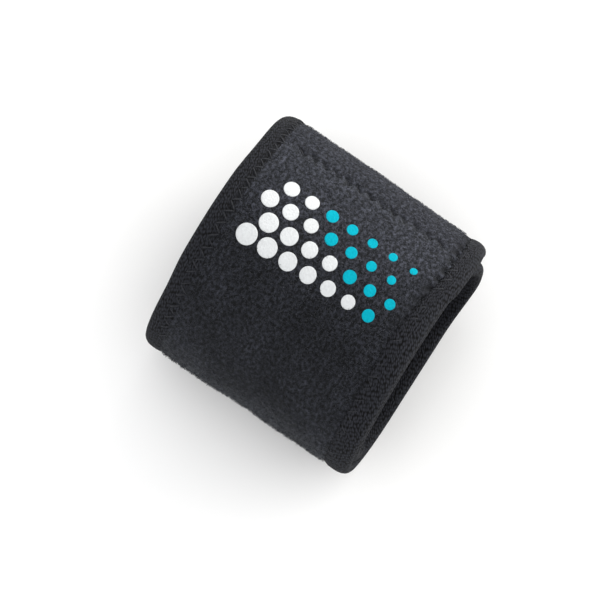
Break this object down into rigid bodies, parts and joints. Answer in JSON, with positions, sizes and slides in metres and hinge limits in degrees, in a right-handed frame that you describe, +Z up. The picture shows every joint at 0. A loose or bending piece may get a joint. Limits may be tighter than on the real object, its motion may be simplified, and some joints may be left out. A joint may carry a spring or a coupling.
{
  "type": "neoprene wrist support",
  "caption": "Wide elastic neoprene strip with bound edges, wound into a cuff that supports a wrist and closes on its own pile with a hook patch.",
  "frame": {"origin": "under the middle of the cuff, on the surface that it lies on", "axes": "+X along the arm towards the hand, +Y across the cuff towards the side where the flap ends, +Z up through the cuff's thickness"},
  "size_m": [0.073, 0.077, 0.056],
  "materials": {
    "loop_faced_neoprene": "brushed loop pile, matte with a soft sheen",
    "ribbed_tape": "fine ribbed knit, matte",
    "hook_tape": "moulded nylon hooks on a woven back"
  },
  "bodies": {
    "root": {"wrap_body": "loop_faced_neoprene", "binding_hand_edge": "ribbed_tape", "binding_forearm_edge": "ribbed_tape", "binding_flap_end": "ribbed_tape", "binding_inner_end": "ribbed_tape", "hook_patch": "hook_tape"}
  },
  "joints": []
}
